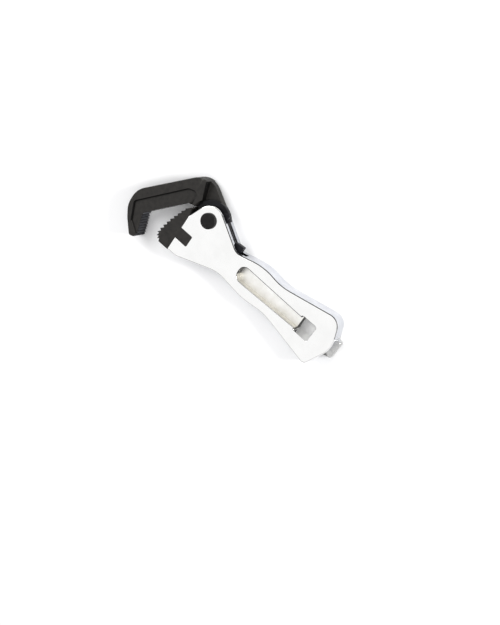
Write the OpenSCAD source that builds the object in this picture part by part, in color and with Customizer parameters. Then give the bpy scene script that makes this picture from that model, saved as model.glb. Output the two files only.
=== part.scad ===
// Pocket pipe wrench with a sprung hook jaw.
// The wrench lies on its back face (z = 0) with the handle along X and the jaws at -X.
// The origin is the centre of the square drive hole, on the back face.

/* [Body] */
// Thickness of the body, back face to front face
thickness = 6.5; // [6.3:0.1:7.5]
// Thickness of the front cheek of the head
front_cheek = 1.6; // [1.4:0.1:1.8]
// Width of the slot between the cheeks
slot_w = 2.6; // [2.6:0.1:2.8]
// Radius of the head's round top
head_r = 5.8; // [5.6:0.1:5.9]
// Height of the lip that stands out of the tail, from the back face
lip_t = 2.6; // [1.5:0.1:3.5]

/* [Square drive] */
// Side of the square drive hole
drive_w = 6.4; // [6.35:0.05:6.5]
// Radius of the hole's corners
drive_corner_r = 0.7; // [0.3:0.1:1]

/* [Pocket] */
// Depth of the long pocket in the handle's front
pocket_depth = 3.1; // [1:0.1:3.4]
// Half width of the pocket at its round end
pocket_wide = 3; // [2.6:0.1:3.2]
// Half width of the pocket where it meets the drive hole
pocket_narrow = 2.35; // [1.5:0.05:3]

/* [Lower jaw] */
// Number of teeth on the lower jaw
lower_teeth = 12; // [9:1:14]
// Depth of those teeth
lower_tooth_d = 0.85; // [0.4:0.05:0.9]
// Width of the jaw's stem
stem_w = 4.4; // [3.6:0.1:4.4]
// Length of the jaw's stem
stem_l = 5.4; // [3:0.1:5.4]

/* [Hook jaw] */
// Number of grooves across the hook's inner face
hook_teeth = 8; // [6:1:10]
// Depth of those grooves
hook_tooth_d = 0.6; // [0.3:0.05:0.7]
// Depth of the recessed band along the hook's inner side
band_depth = 0.7; // [0.2:0.1:0.8]
// Height of the shank's front face above the back face
shank_top = 3.8; // [3.4:0.1:4]
// Radius of the step from the arm's front face down to the shank
step_fillet_r = 1.3; // [0.5:0.1:1.6]

/* [Release lever] */
// Radius of the lever's disc where it stands out above the cheeks
disc_r = 7.3; // [6.8:0.1:7.3]
// How far the hook swings open, in degrees
swing = 22; // [10:1:22]

/* [Pivot] */
// Radius of the pivot barrel
barrel_r = 2; // [1.6:0.1:2.1]
// Radius of the pivot screw's round head
screw_head_r = 2.9; // [2.5:0.1:3.2]
// Height of that head above the front face
screw_head_t = 1.1; // [0.6:0.1:1.4]

/* [Return spring] */
// Diameter of the spring wire
wire_d = 0.4; // [0.3:0.05:0.45]
// Mean radius of the spring's coil
coil_r = 1.15; // [1.05:0.05:1.2]
// Whole turns in the coil, besides the part turn between the legs
coil_turns = 3; // [2:1:3]

/* [Hidden] */

// Radial gap of a running fit, and the gap beside a moving face
run_gap = 0.03;
face_gap = 0.05;
// Overlap that keeps a cut from ending on a face
over = 0.5;
$fn = 64;

// Heights of the slot's two walls and of the moving plates between them
slot_lo = thickness - front_cheek - slot_w;
slot_hi = slot_lo + slot_w;
washer_t = 0.25;
hub_lo = slot_lo + washer_t + face_gap;
hub_hi = slot_hi - washer_t - face_gap;
hook_lo = 0.1;
shank_lo = 0.9;

// Places in the plan
pivot = [-50.6, 6.4];
head_at = [-50.3, 6.2];
seat_x = -57.7;
foot_y = -12.3;
stem_y = -4.6;
spring_at = [-43.2, -3.4];

// Radii around the pivot
hub_r = 5.4;
relief_r = head_r + 0.7;
disc_relief_r = disc_r + 0.3;
jaw_clear_r = disc_r + 0.45;
washer_r = 4.4;
bush_r = 2.6;
rivet_r = 0.6;
rivet_at_r = 4;
nut_head_r = 3.15;
nut_head_t = 1.1;
screw_r = 1.22;
screw_lo = 2.2;
pin_r = 0.75;
pin_at_r = 8.6;
pin_angle = -27;
slot_half = pin_r + 0.05;
pin_hi = slot_hi + 0.8;

// Angles of the lever's raised disc, and of the lobe around the stop pin's slot
disc_from = 33;
disc_to = 172;
lobe_r = pin_at_r + slot_half + 0.8;
lobe_half = asin(slot_half / pin_at_r) + 5;

// ---- plan geometry ----

function unit(v) = v / norm(v);
function polar(r, a, c = [0, 0]) = c + r * [cos(a), sin(a)];
function arc(c, r, from, to, steps = 24) =
    [for (i = [0 : steps]) polar(r, from + (to - from) * i / steps, c)];

// The points that round corner b, between its neighbours a and c, with radius r
function round_corner(a, b, c, r) =
    let (u = unit(a - b), v = unit(c - b),
         half = acos(u * v) / 2,
         centre = b + unit(u + v) * r / sin(half),
         p = b + u * r / tan(half) - centre,
         q = b + v * r / tan(half) - centre,
         from = atan2(p[1], p[0]),
         turn = atan2(q[1], q[0]) - from,
         sweep = turn > 180 ? turn - 360 : turn < -180 ? turn + 360 : turn,
         steps = max(3, ceil(abs(sweep) / (r > 4 ? 4 : 9))))
    arc(centre, r, from, from + sweep, steps);

// A closed outline whose corners are [x, y, radius]
function rounded(corners) =
    let (n = len(corners))
    [for (i = [0 : n - 1])
        let (a = corners[(i + n - 1) % n], b = corners[i], c = corners[(i + 1) % n],
             p = [b[0], b[1]])
        each b[2] == 0 ? [p] : round_corner([a[0], a[1]], p, [c[0], c[1]], b[2])];

function bezier(a, b, c, t) = a * pow(1 - t, 2) + b * 2 * t * (1 - t) + c * pow(t, 2);

module plate(lo, hi) {
    translate([0, 0, lo]) linear_extrude(hi - lo) children();
}

module drill(r, lo, hi) {
    translate([0, 0, lo]) cylinder(r = r, h = hi - lo);
}

module sector(r, from, to) {
    polygon(concat([[0, 0]], arc([0, 0], r, from, to, 40)));
}

module at_pivot() {
    translate(pivot) children();
}

// ---- body ----

spine_angle = 57.8;
head_left_angle = 159;

module body_outline() {
    top_of_spine = polar(head_r, spine_angle, head_at);
    left_of_head = polar(head_r, head_left_angle, head_at);
    polygon(concat(
        arc(head_at, head_r, spine_angle, head_left_angle, 36),
        rounded_open([
            [left_of_head[0], left_of_head[1], 0],
            [seat_x, 3.4, 2],
            [seat_x, foot_y, 0.4],
            [-53.8, foot_y, 6],
            [-37.4, -6.1, 14],
            [-24.5, -7.5, 25],
            [-15.2, -6.2, 20],
            [7, -10.5, 2],
            [11.9, 0.8, 9],
            [8, 10.9, 4.4],
            [-15.4, 5.9, 20],
            [-24.4, 7.2, 22],
            [-35.6, 4.1, 4],
            [top_of_spine[0], top_of_spine[1], 0]])));
}

// An open run of corners: its two ends are left out, because the arc beside them has them
function rounded_open(corners) =
    [for (i = [1 : len(corners) - 2])
        let (a = corners[i - 1], b = corners[i], c = corners[i + 1])
        each round_corner([a[0], a[1]], [b[0], b[1]], [c[0], c[1]], b[2])];

module drive_hole() {
    h = drive_w / 2;
    polygon(rounded([for (s = [[-1, -1], [1, -1], [1, 1], [-1, 1]])
        [s[0] * h, s[1] * h, drive_corner_r]]));
}

module pocket() {
    round_end = -31.1;
    round_r = 2.6;
    lean = -0.3;
    mouth = -drive_w / 2 + 0.3;
    polygon(rounded([
        [round_end, lean - pocket_wide, round_r],
        [mouth, -pocket_narrow, 0],
        [mouth, pocket_narrow, 0],
        [round_end, lean + pocket_wide, round_r]]));
}

module stem(gap) {
    polygon(rounded([
        [seat_x - over, stem_y - stem_w / 2 - gap, 0],
        [seat_x + stem_l + gap, stem_y - stem_w / 2 - gap, 0.4],
        [seat_x + stem_l + gap, stem_y + stem_w / 2 + gap, 0.4],
        [seat_x - over, stem_y + stem_w / 2 + gap, 0]]));
}

// The room between the cheeks: the hub, the lever's disc, its tail's swing and the spring
module slot_room() {
    room_r = 18.3;
    gap = 0.4;
    at_pivot() {
        circle(r = hub_r + gap);
        sector(disc_relief_r, disc_from - swing - 4, 192);
        sector(lobe_r + gap, pin_angle - lobe_half - swing - 3, 30);
    }
    polygon(concat(
        [polar(9, 40, pivot), polar(9, -60, pivot), spring_at + [0.3, -1.8]],
        arc(pivot, room_r, -37, 20, 12)));
    translate(spring_at) circle(r = coil_r + wire_d + 0.3);
}

// A lip at the tail, wide enough to pry with
module tail_lip() {
    polygon(rounded([
        [8, -4.6, 0],
        [12.6, -3.6, 0.8],
        [12.6, 3, 0.8],
        [8, 4.2, 0]]));
}

module body_frame() {
    color("silver") difference() {
        union() {
            plate(0, thickness) body_outline();
            plate(0, lip_t) tail_lip();
        }
        plate(slot_lo, slot_hi) slot_room();
        plate(-over, thickness + over) drive_hole();
        plate(thickness - pocket_depth, thickness + over) pocket();
        plate(-over, thickness + over) stem(run_gap);
        at_pivot() {
            drill(barrel_r + run_gap, -over, thickness + over);
            drill(nut_head_r + 0.05, -over, nut_head_t);
        }
        translate(polar(pin_at_r, pin_angle, pivot)) drill(pin_r, -over, pin_hi);
        translate(spring_at) drill(pin_r, -over, pin_hi);
        set_screw_place() drill(set_screw_r + run_gap, -over, stem_y - foot_y);
    }
}

// ---- lower jaw and its screw ----

set_screw_r = 1;
set_screw_l = 4.4;
set_screw_x = -55;

// Moves children so that their z axis runs up the set screw, from the body's foot
module set_screw_place() {
    translate([set_screw_x, foot_y, thickness / 2]) rotate([-90, 0, 0]) children();
}

// The jaw's bowed front is one long curve, then a short one round its lower corner
front_top = [-60.46, 4.07];
front_bow = [-63.95, -3.6];
front_corner = [-64.65, -9.7];
corner_bow = [-64, -11.9];
front_foot = [-62.2, foot_y];
corner_teeth = 3;

// Tip i, counted from the top; the long curve's parameter is eased so that its tips are evenly spaced
function lower_tip(i) =
    let (long = lower_teeth - 1 - corner_teeth, u = i / long, ease = 0.14)
    u <= 1 ? bezier(front_top, front_bow, front_corner, u * (1 - ease + ease * u))
           : bezier(front_corner, corner_bow, front_foot, (i - long) / corner_teeth);

// Tips and roots in turn; the teeth lean, with each root nearer to the tip above it
function lower_tooth_line() =
    [for (i = [0 : lower_teeth - 1])
        let (tip = lower_tip(i), step = lower_tip(i + 1) - tip, along = unit(step),
             inward = [-along[1], along[0]], lean = 0.25)
        each i == lower_teeth - 1 ? [tip] : [tip, tip + step * lean + inward * lower_tooth_d]];

module lower_jaw() {
    top = polar(jaw_clear_r, 181, pivot);
    color("dimgray") plate(0, thickness) difference() {
        union() {
            polygon(concat(
                lower_tooth_line(),
                [[seat_x, foot_y], [seat_x, 3.4], [top[0] + 2.5, top[1] + 2.5]]));
            stem(0);
        }
        at_pivot() circle(r = jaw_clear_r, $fn = 96);
    }
}

module jaw_set_screw() {
    socket_af = 0.9;
    stem_face = stem_y - stem_w / 2 - foot_y;
    color("black") set_screw_place() difference() {
        drill(set_screw_r, stem_face - set_screw_l, stem_face);
        translate([0, 0, stem_face - set_screw_l - over])
            cylinder(d = socket_af / cos(30), h = 1 + over, $fn = 6);
    }
}

// ---- hook jaw ----

inner_corner = [-73.4, -8.2];
tooth_face_end = [-70.3, -17.2];
// Ends of the step down from the arm's front face to the shank
step_head = [-59.6, 18.6];
step_foot = [-57.1, 11.2];

// The whole hook in plan: tip, arm, rounded shoulder and the shank down to the hub
module hook_outline() {
    difference() {
        polygon(rounded([
            [inner_corner[0], inner_corner[1], 0.5],
            [tooth_face_end[0], tooth_face_end[1], 1.6],
            [-73.2, -18.2, 1],
            [-77.4, -13.8, 6],
            [-80.2, -9.5, 8],
            [-80.2, -2.9, 8],
            [-60.5, 19, 7],
            [-49.4, 12.6, 0],
            [-49, 8, 0],
            [-56, 5, 0],
            [-58.5, 7.1, 0],
            [-61.2, 6, 1.2]]));
        hook_tooth_line();
    }
}

// V grooves across the hook's inner face
module hook_tooth_line() {
    run = tooth_face_end - inner_corner;
    along = unit(run);
    out = [-along[1], along[0]];
    margin = 0.65;
    first = inner_corner + along * margin;
    pitch = (norm(run) - 2 * margin) / hook_teeth;
    for (i = [0 : hook_teeth - 1])
        let (p = first + along * pitch * (i + 0.5))
        polygon([p - out * hook_tooth_d, p + along * pitch / 2 + out * 0.01,
                 p + out * 0.4, p - along * pitch / 2 + out * 0.01]);
}

// The recessed band beside the teeth and under the arm, inside the raised outer ridge
module hook_band() {
    polygon(rounded([
        [-75.4, -13.2, 0.4],
        [-78.3, -6.9, 1.2],
        [-63.4, 10.4, 1.8],
        [-59.9, 11.5, 1.2],
        [-59, 6, 0],
        [-66, -20, 0]]));
}

// Everything to the right of the arm, where the front face steps down to the shank
module shank_side() {
    polygon([step_head, [-48, 24], [-40, 0], [-54, 5], step_foot]);
}

// The round at the foot of the step from the arm's front face to the shank
module step_fillet() {
    along = step_head - step_foot;
    translate([step_foot[0], step_foot[1], shank_top])
        rotate([0, 0, atan2(along[1], along[0])]) rotate([90, 0, 90])
        linear_extrude(norm(along)) difference() {
            translate([-step_fillet_r, -0.1]) square([step_fillet_r + 0.2, step_fillet_r + 0.1]);
            translate([-step_fillet_r, step_fillet_r]) circle(r = step_fillet_r);
        }
}

module hook_jaw() {
    color("dimgray") difference() {
        union() {
            difference() {
                plate(hook_lo, thickness) hook_outline();
                plate(thickness - band_depth, thickness + over) hook_band();
                plate(shank_top, thickness + over) shank_side();
                plate(-over, shank_lo) shank_side();
            }
            intersection() {
                step_fillet();
                plate(shank_lo, thickness) hook_outline();
            }
            at_pivot() drill(hub_r, hub_lo, shank_top);
        }
        at_pivot() {
            drill(bush_r, -over, thickness);
            drill(relief_r, -over, hub_lo);
            drill(disc_relief_r, shank_top, thickness + over);
            rivet_holes();
        }
    }
}

// ---- release lever ----

rivet_turn = 90;
tail_top_d = 5.75;

module lever_tail() {
    away = polar(1, spine_angle);
    down = polar(1, spine_angle - 90);
    top = pivot + away * tail_top_d;
    bend = top + down * 10.2;
    inner = [-44.2, 2.7];
    polygon(concat([pivot, top], rounded_open([
        [top[0], top[1], 0],
        [bend[0], bend[1], 0.8],
        [-37.9, 6.4, 0.5],
        [-34.8, 6.7, 0.25],
        [-34.8, 3.5, 0.5],
        [-40.6, 2.9, 0.8],
        [inner[0], inner[1], 0]]), [inner]));
}

// The curved slot that the stop pin stands in
module stop_slot() {
    polygon(concat(
        arc(polar(pin_at_r, pin_angle), slot_half, pin_angle + 180, pin_angle + 360, 12),
        arc([0, 0], pin_at_r + slot_half, pin_angle, pin_angle + swing, 12),
        arc(polar(pin_at_r, pin_angle + swing), slot_half, pin_angle + swing,
            pin_angle + swing + 180, 12),
        arc([0, 0], pin_at_r - slot_half, pin_angle + swing, pin_angle, 12)));
}

module lever_full() {
    lever_tail();
    at_pivot() {
        sector(disc_r, disc_from, 84);
        sector(lobe_r, pin_angle - lobe_half, 2);
    }
}

module release_lever() {
    color([0.1, 0.1, 0.12]) difference() {
        union() {
            plate(shank_top, hub_hi) at_pivot() {
                circle(r = hub_r);
                sector(disc_r, disc_from, disc_to);
            }
            difference() {
                plate(hub_lo, hub_hi) lever_full();
                at_pivot() drill(hub_r + face_gap, -over, shank_top);
                plate(-over, shank_top) offset_shank();
            }
        }
        at_pivot() {
            drill(bush_r, 0, thickness);
            rivet_holes();
            plate(0, thickness) stop_slot();
        }
    }
}

// The shank's plan, drawn slightly large, so that the lever stays beside it
module offset_shank() {
    polygon([[-62, 10], [-58.6, 18.4], [-49.3, 12.8], [-48.9, 8], [-56, 4]]);
}

// One place for each rivet that joins the lever's disc to the hook's hub
module at_rivets() {
    for (i = [0 : 2]) rotate(rivet_turn + i * 120) translate([rivet_at_r, 0]) children();
}

module rivet_holes() {
    at_rivets() drill(rivet_r, 0, thickness);
}

module lever_rivets() {
    color("silver") at_pivot() at_rivets() drill(rivet_r, hub_lo, hub_hi);
}

// ---- pivot ----

barrel_top = thickness - 0.2;

module pivot_screw() {
    edge = 0.3;
    dome = 0.06;
    color([0.15, 0.15, 0.15]) at_pivot() {
        drill(screw_r, screw_lo, thickness + dome);
        translate([0, 0, thickness]) rotate_extrude()
            polygon([[0, 0], [screw_head_r, 0], [screw_head_r, screw_head_t - edge],
                     [screw_head_r - edge, screw_head_t - dome], [0, screw_head_t]]);
    }
}

module pivot_nut() {
    driver_w = 0.8;
    driver_d = 0.55;
    end_gap = 0.3;
    color("silver") at_pivot() difference() {
        union() {
            drill(nut_head_r, 0.05, nut_head_t);
            drill(barrel_r, nut_head_t, barrel_top);
        }
        drill(screw_r + run_gap, screw_lo - end_gap, thickness);
        translate([-nut_head_r - over, -driver_w / 2, -over])
            cube([2 * (nut_head_r + over), driver_w, over + driver_d]);
    }
}

module pivot_bush() {
    color("peru") at_pivot() difference() {
        drill(bush_r, hub_lo, hub_hi);
        drill(barrel_r + run_gap, 0, thickness);
    }
}

module washer() {
    difference() {
        drill(washer_r, 0, washer_t);
        drill(barrel_r + 0.1, -over, over);
    }
}

module front_washer() {
    color("peru") at_pivot() translate([0, 0, slot_hi - washer_t]) washer();
}

module rear_washer() {
    color("peru") at_pivot() translate([0, 0, slot_lo]) washer();
}

module stop_pin() {
    color("silver") translate(polar(pin_at_r, pin_angle, pivot)) drill(pin_r, 0.1, pin_hi);
}

// ---- spring ----

module spring_post() {
    color("silver") translate(spring_at) drill(pin_r, 0.1, pin_hi);
}

// A round wire swept along a path whose tangent is never upright
module wire(path, r, sides = 8) {
    n = len(path);
    rings = [for (i = [0 : n - 1])
        let (t = unit(path[min(i + 1, n - 1)] - path[max(i - 1, 0)]),
             side = unit(cross(t, [0, 0, 1])),
             up = cross(side, t))
        each [for (k = [0 : sides - 1])
            path[i] + r * (cos(k * 360 / sides) * side + sin(k * 360 / sides) * up)]];
    walls = [for (i = [0 : n - 2], k = [0 : sides - 1])
        let (a = i * sides + k, b = i * sides + (k + 1) % sides)
        [a, a + sides, b + sides, b]];
    first = [for (k = [0 : sides - 1]) k];
    last = [for (k = [0 : sides - 1]) n * sides - 1 - k];
    polyhedron(rings, concat(walls, [first, last]));
}

// Leg along the slot's floor, the coil round its post, and the leg under the lever's tail
module return_spring() {
    floor_leg_angle = 6;
    tail_leg_angle = 45;
    floor_leg_l = 5.6;
    tail_leg_l = 7.6;
    start = floor_leg_angle - 90;
    end = tail_leg_angle + 90 - 360 * (coil_turns + 1);
    lo = hub_lo + wire_d / 2;
    hi = hub_hi - wire_d / 2;
    steps = 16 * (coil_turns + 1);
    coil = [for (i = [0 : steps])
        let (s = i / steps, p = polar(coil_r, start + (end - start) * s, spring_at))
        [p[0], p[1], lo + (hi - lo) * s]];
    floor_end = coil[0] + floor_leg_l * [cos(floor_leg_angle), sin(floor_leg_angle), 0];
    tail_end = coil[steps] + tail_leg_l * [cos(tail_leg_angle), sin(tail_leg_angle), 0];
    color("gray") wire(concat([floor_end], coil, [tail_end]), wire_d / 2);
}

body_frame();
lower_jaw();
jaw_set_screw();
hook_jaw();
release_lever();
lever_rivets();
pivot_screw();
pivot_nut();
pivot_bush();
front_washer();
rear_washer();
stop_pin();
spring_post();
return_spring();
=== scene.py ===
import math
import bmesh
import bpy
from mathutils import Matrix, Vector


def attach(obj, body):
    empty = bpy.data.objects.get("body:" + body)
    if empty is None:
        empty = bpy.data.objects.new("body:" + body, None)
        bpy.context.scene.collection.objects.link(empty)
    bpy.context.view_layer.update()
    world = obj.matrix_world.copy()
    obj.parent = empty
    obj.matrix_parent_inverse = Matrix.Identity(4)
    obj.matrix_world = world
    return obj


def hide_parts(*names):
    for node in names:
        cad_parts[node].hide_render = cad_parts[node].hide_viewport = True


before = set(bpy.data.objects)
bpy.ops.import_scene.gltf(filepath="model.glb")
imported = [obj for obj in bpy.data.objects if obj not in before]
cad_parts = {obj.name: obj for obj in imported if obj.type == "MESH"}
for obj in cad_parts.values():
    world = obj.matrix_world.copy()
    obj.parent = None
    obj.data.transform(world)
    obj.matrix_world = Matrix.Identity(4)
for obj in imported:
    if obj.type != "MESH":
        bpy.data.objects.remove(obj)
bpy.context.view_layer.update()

MM = 0.001
# Levels and sizes of the part, in mm
THICK = 6.5
PIVOT = (-50.6, 6.4)
SEAT_X = -57.7
POCKET_FLOOR = 3.4
BAND_FLOOR = 5.8
HOOK_BACK = 0.1
SHANK_BACK = 0.9
SHANK_TOP = 3.8
LIP_TOP = 2.6
HOLE_HALF = 3.2
INNER_CORNER = (-73.4, -8.2)
# Limits, in mm, of the places that the rules for rounding and materials pick out
POCKET_X = (-34, -3.1)
POCKET_HALF = 4
LIP_X = 10.6
TEETH_Y = (-17, -7.8)
TOOTH_LEAN = 0.34
ARM_SLOPE = 1.16
# Edges flatter than the first are shaded smooth; corners sharper than the second are rounded
SMOOTH_BELOW = math.radians(32)
ROUND_ABOVE = math.radians(38)
# The point that both lamps face, in metres
AIM = (-0.035, 0.0, 0.0)
# How far the floor lies under the back face, in mm
FLOOR_GAP = 0.02
# Sideways share of a direction at which the sky's dark flags begin, and where they are full
FLAG_SIDE = (0.70, 0.84)


# ---- materials ----

def set_stops(ramp, stops):
    """Gives a colour ramp its (place, colour) stops."""
    elements = ramp.color_ramp.elements
    while len(elements) < len(stops):
        elements.new(0.5)
    for element, (at, colour) in zip(elements, stops):
        element.position, element.color = at, (*colour, 1)


class Nodes:
    """Short names for building one material's node tree."""

    def __init__(self, name):
        self.material = bpy.data.materials.new(name)
        self.material.use_nodes = True
        self.tree = self.material.node_tree
        self.shader = self.tree.nodes["Principled BSDF"]
        self.place = self.add("ShaderNodeTexCoord").outputs["Object"]

    def add(self, kind, **settings):
        node = self.tree.nodes.new(kind)
        for key, value in settings.items():
            setattr(node, key, value)
        return node

    def link(self, out, socket):
        self.tree.links.new(out, socket)

    def stretched(self, scale, turn=0.0):
        mapping = self.add("ShaderNodeMapping")
        mapping.inputs["Scale"].default_value = scale
        mapping.inputs["Rotation"].default_value = (0, 0, turn)
        self.link(self.place, mapping.inputs["Vector"])
        return mapping.outputs["Vector"]

    def noise(self, scale, detail=3.0, rough=0.55, vector=None):
        node = self.add("ShaderNodeTexNoise")
        node.inputs["Scale"].default_value = scale
        node.inputs["Detail"].default_value = detail
        node.inputs["Roughness"].default_value = rough
        self.link(vector or self.place, node.inputs["Vector"])
        return node.outputs["Fac"]

    def turned(self, scale):
        """Fine rings round the pivot, as a lathe leaves them."""
        centred = self.add("ShaderNodeVectorMath", operation="SUBTRACT")
        centred.inputs[1].default_value = (PIVOT[0] * MM, PIVOT[1] * MM, 0)
        self.link(self.place, centred.inputs[0])
        wave = self.add("ShaderNodeTexWave", wave_type="RINGS", rings_direction="Z")
        wave.inputs["Scale"].default_value = scale
        wave.inputs["Distortion"].default_value = 0.6
        wave.inputs["Detail"].default_value = 1.5
        self.link(centred.outputs[0], wave.inputs["Vector"])
        return wave.outputs["Fac"]

    def span(self, value, low, high, at=(0.35, 0.65)):
        node = self.add("ShaderNodeMapRange")
        node.inputs["From Min"].default_value, node.inputs["From Max"].default_value = at
        node.inputs["To Min"].default_value, node.inputs["To Max"].default_value = low, high
        self.link(value, node.inputs["Value"])
        return node.outputs["Result"]

    def ramp(self, value, stops):
        node = self.add("ShaderNodeValToRGB")
        set_stops(node, stops)
        self.link(value, node.inputs["Fac"])
        return node.outputs["Color"]

    def mix(self, share, a, colour):
        node = self.add("ShaderNodeMix", data_type="RGBA")
        self.link(share, node.inputs["Factor"])
        self.link(a, node.inputs["A"])
        node.inputs["B"].default_value = (*colour, 1)
        return node.outputs["Result"]

    def bumps(self, *layers):
        normal = None
        for value, strength, distance in layers:
            node = self.add("ShaderNodeBump")
            node.inputs["Strength"].default_value = strength
            node.inputs["Distance"].default_value = distance * MM
            self.link(value, node.inputs["Height"])
            if normal:
                self.link(normal, node.inputs["Normal"])
            normal = node.outputs["Normal"]
        self.link(normal, self.shader.inputs["Normal"])

    def edges(self, low, high):
        """White along sharp outer edges, black on flats."""
        node = self.add("ShaderNodeNewGeometry")
        return self.span(node.outputs["Pointiness"], 0, 1, (low, high))

    def set(self, **values):
        for key, value in values.items():
            self.shader.inputs[key.replace("_", " ")].default_value = value


def polished_steel():
    n = Nodes("polished_steel")
    smudge = n.noise(160, 4)
    hair = n.noise(900, 2, vector=n.stretched((0.05, 1, 1), 0.35))
    fine = n.noise(2600, 2, vector=n.stretched((1, 0.06, 1), -0.5))
    n.link(n.ramp(smudge, [(0.35, (0.93, 0.93, 0.915)), (0.65, (0.965, 0.965, 0.95))]),
           n.shader.inputs["Base Color"])
    n.link(n.span(smudge, 0.035, 0.10), n.shader.inputs["Roughness"])
    n.bumps((hair, 0.04, 0.02), (fine, 0.03, 0.01))
    n.set(Metallic=1.0)
    return n.material


def blasted_steel():
    n = Nodes("blasted_steel")
    grain = n.noise(5200, 3, 0.7)
    patch = n.noise(420, 3)
    n.link(n.ramp(patch, [(0.3, (0.88, 0.87, 0.83)), (0.7, (0.98, 0.975, 0.95))]),
           n.shader.inputs["Base Color"])
    n.link(n.span(grain, 0.34, 0.50), n.shader.inputs["Roughness"])
    n.bumps((patch, 0.15, 0.06), (grain, 0.35, 0.03))
    n.set(Metallic=1.0)
    return n.material


def black_oxide():
    n = Nodes("black_oxide")
    mottle = n.noise(700, 5, 0.65)
    grain = n.noise(4200, 3, 0.7)
    forged = n.noise(260, 3)
    base = n.ramp(mottle, [(0.3, (0.013, 0.012, 0.011)), (0.7, (0.028, 0.026, 0.0235))])
    n.link(n.mix(n.edges(0.54, 0.66), base, (0.07, 0.066, 0.06)), n.shader.inputs["Base Color"])
    n.link(n.span(mottle, 0.42, 0.62), n.shader.inputs["Roughness"])
    n.bumps((forged, 0.35, 0.10), (grain, 0.55, 0.03))
    n.set(Specular_IOR_Level=0.2)
    return n.material


def gloss_black():
    n = Nodes("gloss_black")
    waves = n.noise(380, 3)
    marks = n.noise(2200, 3, vector=n.stretched((1, 0.08, 1), 0.6))
    base = n.ramp(waves, [(0.3, (0.004, 0.004, 0.005)), (0.7, (0.010, 0.010, 0.013))])
    # Painted highlight: a lighter colour along the sharp edges.
    n.link(n.mix(n.edges(0.53, 0.62), base, (0.04, 0.04, 0.045)), n.shader.inputs["Base Color"])
    n.link(n.span(marks, 0.14, 0.26), n.shader.inputs["Roughness"])
    n.bumps((waves, 0.12, 0.05), (marks, 0.05, 0.01))
    n.set(Specular_IOR_Level=0.12)
    return n.material


def side_painted_reflection():
    """The handle's outer walls: streaks along their height in the roughness and bumps, and a
    darker, bluish grey than the polish as painted reflection.
    """
    n = Nodes("side_painted_reflection")
    streak = n.noise(1500, 3, vector=n.stretched((1, 1, 0.12)))
    patch = n.noise(240, 3)
    n.link(n.ramp(patch, [(0.3, (0.60, 0.615, 0.65)), (0.7, (0.74, 0.75, 0.775))]),
           n.shader.inputs["Base Color"])
    n.link(n.span(streak, 0.08, 0.22), n.shader.inputs["Roughness"])
    n.bumps((streak, 0.12, 0.02))
    n.set(Metallic=1.0)
    return n.material


def wall_steel():
    """The pocket's walls with the cutter's lines, in a tan grey darker than the polish, in patches.
    """
    n = Nodes("wall_steel")
    lines = n.noise(2400, 2, vector=n.stretched((0.15, 0.15, 1)))
    stain = n.noise(500, 4)
    n.link(n.ramp(stain, [(0.3, (0.60, 0.575, 0.51)), (0.7, (0.76, 0.74, 0.68))]),
           n.shader.inputs["Base Color"])
    n.link(n.span(lines, 0.2, 0.4), n.shader.inputs["Roughness"])
    n.bumps((lines, 0.3, 0.02))
    n.set(Metallic=1.0)
    return n.material


def edge_steel():
    """Dark steel in place of the photo's dark reflections.

    It is on the pocket's spine-side wall and ends with their rim, on the spine's rounded edge
    and on the drive hole's wall that faces +X."""
    n = Nodes("edge_steel")
    patch = n.noise(900, 4)
    grain = n.noise(5200, 2)
    n.link(n.ramp(patch, [(0.3, (0.028, 0.027, 0.025)), (0.7, (0.065, 0.063, 0.06))]),
           n.shader.inputs["Base Color"])
    n.link(n.span(grain, 0.28, 0.42), n.shader.inputs["Roughness"])
    n.bumps((grain, 0.2, 0.02))
    n.set(Metallic=1.0)
    return n.material


def painted_shade_black():
    """Near-black oxide as painted shade: on the ridge's inner edge, the shank's step and one flank
    of each groove.
    """
    n = Nodes("painted_shade_black")
    mottle = n.noise(900, 4)
    n.link(n.ramp(mottle, [(0.3, (0.002, 0.002, 0.002)), (0.7, (0.006, 0.0055, 0.005))]),
           n.shader.inputs["Base Color"])
    n.link(n.span(mottle, 0.5, 0.7), n.shader.inputs["Roughness"])
    n.bumps((n.noise(4200, 3), 0.4, 0.03))
    n.set(Specular_IOR_Level=0.08)
    return n.material


def painted_light_oxide():
    """A lighter oxide as painted light on the other, lit flank of each groove, so that the grooves
    show.
    """
    n = Nodes("painted_light_oxide")
    rub = n.noise(1600, 4)
    n.link(n.ramp(rub, [(0.3, (0.030, 0.031, 0.036)), (0.7, (0.075, 0.077, 0.085))]),
           n.shader.inputs["Base Color"])
    n.link(n.span(rub, 0.30, 0.45), n.shader.inputs["Roughness"])
    n.bumps((n.noise(4200, 2), 0.3, 0.02))
    n.set(Specular_IOR_Level=0.35)
    return n.material


def screw_black():
    n = Nodes("screw_black")
    rings = n.turned(5200)
    mottle = n.noise(900, 4, 0.6)
    base = n.ramp(mottle, [(0.3, (0.006, 0.0058, 0.0055)), (0.7, (0.012, 0.0115, 0.011))])
    n.link(n.mix(n.edges(0.53, 0.62), base, (0.06, 0.058, 0.055)), n.shader.inputs["Base Color"])
    n.link(n.span(mottle, 0.38, 0.52), n.shader.inputs["Roughness"])
    n.bumps((rings, 0.15, 0.02), (n.noise(3600, 2), 0.3, 0.02))
    n.set(Specular_IOR_Level=0.14)
    return n.material


def turned_metal(name, light, dark, low, high):
    n = Nodes(name)
    mottle = n.noise(1100, 4)
    fine = n.noise(5200, 2, vector=n.stretched((1, 1, 0.1)))
    n.link(n.ramp(mottle, [(0.3, dark), (0.7, light)]), n.shader.inputs["Base Color"])
    n.link(n.span(fine, low, high), n.shader.inputs["Roughness"])
    n.bumps((fine, 0.2, 0.02))
    n.set(Metallic=1.0)
    return n.material


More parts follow.
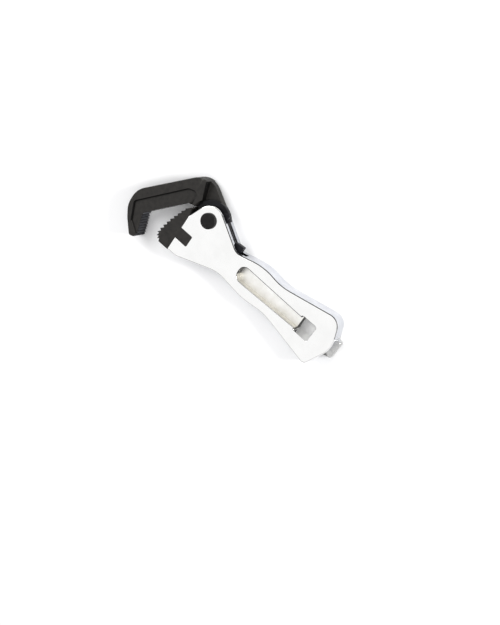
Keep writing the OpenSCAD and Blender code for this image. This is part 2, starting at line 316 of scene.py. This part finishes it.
POLISHED = polished_steel()
BLASTED = blasted_steel()
OXIDE = black_oxide()
GLOSS = gloss_black()
SCREW = screw_black()
SIDE_REFLECTION = side_painted_reflection()
WALL = wall_steel()
EDGE = edge_steel()
SHADE_BLACK = painted_shade_black()
LIT_FLANK = painted_light_oxide()
STEEL = turned_metal("turned_steel", (0.62, 0.62, 0.61), (0.5, 0.5, 0.49), 0.2, 0.36)
DARK = turned_metal("dark_steel", (0.09, 0.088, 0.085), (0.05, 0.05, 0.05), 0.3, 0.45)
BRONZE = turned_metal("bearing_bronze", (0.68, 0.43, 0.2), (0.55, 0.33, 0.15), 0.25, 0.4)
SPRING = turned_metal("spring_wire", (0.44, 0.44, 0.45), (0.3, 0.3, 0.31), 0.2, 0.32)


# ---- pieces: CAD nodes with their edges rounded ----

def placed(name, data):
    """An object with this data, linked into the scene."""
    thing = bpy.data.objects.new(name, data)
    bpy.context.scene.collection.objects.link(thing)
    return thing


def as_mesh(bm, name, materials):
    """The bmesh as a mesh with its materials. The bmesh is freed."""
    mesh = bpy.data.meshes.new(name)
    bm.to_mesh(mesh)
    bm.free()
    for material in materials:
        mesh.materials.append(material)
    return mesh


def add_face(bm, corners):
    """A face from corners that may repeat; none if fewer than three differ."""
    corners = list(dict.fromkeys(corners))
    if len(corners) > 2:
        bm.faces.new(corners)


def flat_regions(bm):
    """Joined groups of level faces: (faces, up or down)."""
    level = {f for f in bm.faces if abs(f.normal.z) > 0.9999}
    while level:
        seed = level.pop()
        group, todo = [seed], [seed]
        while todo:
            for edge in todo.pop().edges:
                for other in edge.link_faces:
                    if other in level and other.normal.z * seed.normal.z > 0:
                        level.discard(other)
                        group.append(other)
                        todo.append(other)
        yield group, 1 if seed.normal.z > 0 else -1


def round_region(bm, faces, facing, rule, steps):
    """Rounds the outer edges of one level region, by rule(point) mm at each point."""
    inside = set(faces)
    rim = [(e, next(f for f in e.link_faces if f in inside)) for f in faces for e in f.edges
           if sum(o in inside for o in e.link_faces) == 1]
    inward, outer = {}, {}
    for edge, face in rim:
        a, b = (v.co for v in edge.verts)
        across = Vector((a.y - b.y, b.x - a.x, 0)).normalized()
        if across.dot(face.calc_center_median() - a) < 0:
            across = -across
        sharp = len(edge.link_faces) == 2 and edge.calc_face_angle_signed(0) > ROUND_ABOVE
        for v in edge.verts:
            inward.setdefault(v, []).append(across)
            outer[v] = outer.get(v, True) and sharp
    rings = {}
    for v, sides in inward.items():
        radius = rule(v.co / MM) * MM if outer[v] and len(sides) == 2 else 0
        if radius < 1e-6:
            rings[v] = [v] * (steps + 1)
            continue
        slant = (sides[0] + sides[1]) / max(0.5, 1 + sides[0].dot(sides[1]))
        start = v.co.copy()
        v.co.z -= facing * radius
        ring = [v]
        for k in range(1, steps + 1):
            t = math.radians(90) * k / steps
            place = start + slant * radius * (1 - math.cos(t))
            place.z = start.z - facing * radius * (1 - math.sin(t))
            ring.append(bm.verts.new(place))
        rings[v] = ring
    pairs = []
    for edge, face in rim:
        loop = next(lo for lo in face.loops if lo.edge == edge)
        pairs.append((loop.vert, loop.link_loop_next.vert))
    bmesh.ops.delete(bm, geom=faces, context="FACES_ONLY")
    border = []
    for a, b in pairs:
        for k in range(steps):
            add_face(bm, (rings[a][k], rings[b][k], rings[b][k + 1], rings[a][k + 1]))
        last = (rings[a][-1], rings[b][-1])
        border.append(bm.edges.get(last) or bm.edges.new(last))
    bmesh.ops.triangle_fill(bm, edges=list(dict.fromkeys(border)), use_beauty=True,
                            normal=(0, 0, facing))


def softened(node, name, body, rule, materials, face_rule=None, steps=4):
    """A copy of a CAD node with rounded edges, by rule(point, facing) in mm.

    face_rule(centre, normal) picks a face's material; without it the first is used."""
    bm = bmesh.new()
    bm.from_mesh(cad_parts[node].data)
    bmesh.ops.remove_doubles(bm, verts=bm.verts, dist=3e-6)
    bm.normal_update()
    for faces, facing in list(flat_regions(bm)):
        if any(rule(v.co / MM, facing) > 0 for f in faces for v in f.verts):
            round_region(bm, faces, facing, lambda p: rule(p, facing), steps)
    bmesh.ops.recalc_face_normals(bm, faces=bm.faces)
    bm.normal_update()
    if face_rule:
        for face in bm.faces:
            shown = face_rule(face.calc_center_median() / MM, face.normal)
            face.material_index = materials.index(shown)
    finished(bm, name, body, materials, node)


def finished(bm, name, body, materials, node):
    """Shades the mesh and shows it in the CAD node's place, on the given body."""
    for edge in bm.edges:
        edge.smooth = len(edge.link_faces) == 2 and edge.calc_face_angle(0) < SMOOTH_BELOW
    for face in bm.faces:
        face.smooth = True
    piece = placed(name, as_mesh(bm, name, materials))
    shading = piece.modifiers.new("flat_faces_stay_flat", "WEIGHTED_NORMAL")
    shading.mode = "FACE_AREA"
    shading.weight = 60
    shading.keep_sharp = True
    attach(piece, body)
    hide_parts(node)


def turned_piece(node, name, body, profile, materials, sides=96):
    """A piece turned about the pivot's axis, from (radius, height) pairs in mm."""
    bm = bmesh.new()
    rows = []
    for radius, height in profile:
        count = sides if radius > 0 else 1
        rows.append([bm.verts.new(((PIVOT[0] + radius * math.cos(2 * math.pi * k / sides)) * MM,
                                   (PIVOT[1] + radius * math.sin(2 * math.pi * k / sides)) * MM,
                                   height * MM)) for k in range(count)])
    for low, high in zip(rows, rows[1:]):
        for k in range(sides):
            add_face(bm, (low[k % len(low)], low[(k + 1) % len(low)],
                          high[(k + 1) % len(high)], high[k % len(high)]))
    bmesh.ops.recalc_face_normals(bm, faces=bm.faces)
    finished(bm, name, body, materials, node)


def near(value, target):
    return abs(value - target) < 0.02


def even(radius):
    """A rule that rounds every edge alike."""
    return lambda p, facing: radius


def body_rule(p, facing):
    if not (near(p.z, THICK) or near(p.z, 0)):
        return 0.3 if p.x > 9 else 0
    near_screw = math.hypot(p.x - PIVOT[0], p.y - PIVOT[1]) < 4
    if near_screw:
        return 0
    by_pocket_or_hole = POCKET_X[0] < p.x < HOLE_HALF + 0.3 and abs(p.y) < POCKET_HALF
    if by_pocket_or_hole:
        return 0.3 if facing > 0 and p.y > 1 else 0.2
    by_jaw = p.x < SEAT_X + 0.06 and p.y < 3.2 or (p.x < -52 and -7.1 < p.y < -2.1)
    if by_jaw:
        return 0.05
    return 0.6 if facing > 0 else 0.45


def body_faces(centre, normal):
    """Blasted pocket floor, cut walls and polish elsewhere; painted dark reflection on the edges,
    and on the lip in darker turned steel; painted reflection on the sides in a darker bluish steel.
    """
    if normal.z > 0.9 and near(centre.z, POCKET_FLOOR):
        return BLASTED
    in_pocket = (POCKET_X[0] < centre.x < POCKET_X[1] and abs(centre.y) < POCKET_HALF
                 and centre.z > POCKET_FLOOR)
    if in_pocket and abs(normal.z) < 0.995:
        if normal.y < 0.3:
            return EDGE
        return WALL if normal.z < 0.5 else POLISHED
    # Painted dark reflection: the lip gets the darker turned steel.
    on_lip = (centre.x > LIP_X and centre.z < LIP_TOP + 0.01
              and (centre.x > 11.5 or centre.z > 2.2))
    if on_lip:
        return STEEL
    in_hole = max(abs(centre.x), abs(centre.y)) < HOLE_HALF + 0.1
    if in_hole:
        return EDGE if normal.x > 0.5 else POLISHED
    on_spine_edge = normal.y > 0.3 and 0.35 < normal.z < 0.8 and centre.x > -48
    if on_spine_edge:
        return EDGE
    # Painted reflection: walls that face sideways get the darker bluish steel.
    return SIDE_REFLECTION if abs(normal.z) < 0.3 else POLISHED


def beside_teeth(p):
    """True at the hook's teeth, from a line 1.2 mm behind their face."""
    line = INNER_CORNER[0] - 1.2 - TOOTH_LEAN * (p.y - INNER_CORNER[1])
    return p.y < TEETH_Y[1] and p.x > line


def hook_rule(p, facing):
    under_arm = p.x > -74 and p.y < 8.4 + ARM_SLOPE * (p.x + 60)
    if near(p.z, BAND_FLOOR) or beside_teeth(p) or under_arm:
        return 0.07
    if near(p.z, THICK):
        return 0.42
    return 0.3 if any(near(p.z, level) for level in (HOOK_BACK, SHANK_TOP, SHANK_BACK)) else 0


def hook_faces(centre, normal):
    """Painted shade in near black on the shank's step, on one flank of each groove and on the
    ridge's inner edge; painted light on the grooves' other flank.
    """
    on_step = (SHANK_TOP + 0.05 < centre.z < THICK - 0.1 and centre.x > -61 and centre.y > 9
               and abs(normal.z) < 0.97)
    # Painted shade on the shank's step.
    if on_step and normal.x > 0.5:
        return SHADE_BLACK
    in_groove = (beside_teeth(centre) and centre.y > TEETH_Y[0] and abs(normal.z) < 0.3
                 and centre.x > -74.5)
    # Painted shade on the groove flank that faces -Y, painted light on the other flank.
    if in_groove and normal.x > 0.2:
        return SHADE_BLACK if normal.y < -0.1 else LIT_FLANK
    on_ridge = BAND_FLOOR < centre.z < THICK - 0.005 and abs(normal.z) < 0.99
    if centre.y < -7:
        towards_band = normal.x > 0.05
    else:
        towards_band = normal.x * 0.74 - normal.y * 0.67 > 0.15
    # Painted shade on the ridge's inner edge, the side towards the band.
    if on_ridge and towards_band and centre.y > TEETH_Y[0] and not past_band(centre):
        return SHADE_BLACK
    return OXIDE


def past_band(p):
    """True at the hook's teeth and under its arm, which the ridge's inner edge doesn't reach."""
    if p.y < TEETH_Y[1]:
        return p.x > -73.9
    return p.y < 5 + ARM_SLOPE * (p.x + 62)


softened("body_frame", "body_plate", "handle", body_rule,
         [POLISHED, BLASTED, EDGE, STEEL, WALL, SIDE_REFLECTION], body_faces, 5)
softened("lower_jaw", "fixed_jaw", "handle", even(0.06), [OXIDE], steps=2)
softened("hook_jaw", "hook", "hook", hook_rule,
         [OXIDE, SHADE_BLACK, LIT_FLANK], hook_faces)
softened("release_lever", "lever", "hook", even(0.2), [GLOSS], steps=3)
turned_piece("pivot_screw", "screw_head", "handle",
             [(0, 2.2), (1.22, 2.2), (1.22, 6.5), (2.86, 6.5), (2.9, 6.54), (2.9, 7.2), (2.88, 7.3),
              (2.8, 7.4), (2.66, 7.48), (2.4, 7.52), (1.6, 7.57), (0.8, 7.59), (0, 7.6)], [SCREW])

KEPT = {"jaw_set_screw": DARK, "lever_rivets": STEEL, "pivot_nut": STEEL, "pivot_bush": BRONZE,
        "front_washer": BRONZE, "rear_washer": BRONZE, "stop_pin": STEEL, "spring_post": STEEL,
        "return_spring": SPRING}
for node, material in KEPT.items():
    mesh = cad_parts[node].data
    mesh.materials.clear()
    mesh.materials.append(material)


# ---- floor, light and camera ----

def floor():
    bm = bmesh.new()
    side = 2.5
    corners = [bm.verts.new((x, y, -FLOOR_GAP * MM)) for x, y in
               ((-side, -side), (side, -side), (side, side), (-side, side))]
    bm.faces.new(corners)
    n = Nodes("pale_floor")
    cloud = n.noise(40, 3)
    n.link(n.ramp(cloud, [(0.3, (0.93, 0.93, 0.93)), (0.7, (0.95, 0.95, 0.95))]),
           n.shader.inputs["Base Color"])
    n.set(Roughness=0.6, Specular_IOR_Level=0.2)
    plane = placed("floor", as_mesh(bm, "floor", [n.material]))


def panel(name, place, size, brightness):
    """A square light that faces AIM. Its face has the given brightness."""
    lamp = bpy.data.lights.new(name, "AREA")
    lamp.shape, lamp.size = "SQUARE", size
    lamp.energy = brightness * math.pi * size * size
    holder = placed(name, lamp)
    holder.location = place
    holder.rotation_euler = (Vector(place) - Vector(AIM)).to_track_quat("Z", "Y").to_euler()


def grey_ramp(tree, height, stops):
    """A very slightly blue grey that follows the height above the horizon."""
    ramp = tree.nodes.new("ShaderNodeValToRGB")
    set_stops(ramp, [(at, (grey, grey, grey * 1.01)) for at, grey in stops])
    tree.links.new(height, ramp.inputs["Fac"])
    return ramp.outputs["Color"]


def sky():
    """A white studio overhead, with a low dark flag on the +Y and -Y sides."""
    world = bpy.data.worlds.new("studio")
    bpy.context.scene.world = world
    world.use_nodes = True
    tree = world.node_tree
    place = tree.nodes.new("ShaderNodeTexCoord")
    split = tree.nodes.new("ShaderNodeSeparateXYZ")
    tree.links.new(place.outputs["Generated"], split.inputs[0])
    height = split.outputs["Z"]
    sideways = tree.nodes.new("ShaderNodeMath")
    sideways.operation = "ABSOLUTE"
    tree.links.new(split.outputs["Y"], sideways.inputs[0])
    flag = tree.nodes.new("ShaderNodeMapRange")
    flag.interpolation_type = "SMOOTHSTEP"
    flag.inputs["From Min"].default_value, flag.inputs["From Max"].default_value = FLAG_SIDE
    tree.links.new(sideways.outputs[0], flag.inputs["Value"])
    mix = tree.nodes.new("ShaderNodeMix")
    mix.data_type = "RGBA"
    tree.links.new(flag.outputs["Result"], mix.inputs["Factor"])
    bright = [(0.0, 0.50), (0.35, 0.62), (0.70, 1.0)]
    flagged = [(0.0, 0.45), (0.35, 0.42), (0.41, 0.05), (0.53, 0.05), (0.61, 0.75), (0.70, 1.0)]
    tree.links.new(grey_ramp(tree, height, bright), mix.inputs["A"])
    tree.links.new(grey_ramp(tree, height, flagged), mix.inputs["B"])
    tree.links.new(mix.outputs["Result"], tree.nodes["Background"].inputs["Color"])
    tree.nodes["Background"].inputs["Strength"].default_value = 1.0


floor()
sky()
panel("key", place=(-0.55, 0.1, 0.5), size=0.4, brightness=3.2)
panel("rim", place=(0.34, 0.33, 0.24), size=0.09, brightness=70.0)

# The view that was fitted to the photo
camera = bpy.data.cameras.new("camera")
camera.sensor_fit = "HORIZONTAL"
camera.sensor_width = 36
camera.lens = 85.68
camera.clip_start = 0.01
holder = placed("camera", camera)
right, up, back = (0.7209, 0.5355, -0.440), (-0.6475, 0.7468, -0.152), (0.2472, 0.3945, 0.885)
turn = Matrix((right, up, back)).transposed().to_quaternion().to_matrix().to_4x4()
holder.matrix_world = Matrix.Translation((0.0835, 0.1545, 0.3735)) @ turn
bpy.context.scene.camera = holder
bpy.context.scene.view_settings.view_transform = "Standard"
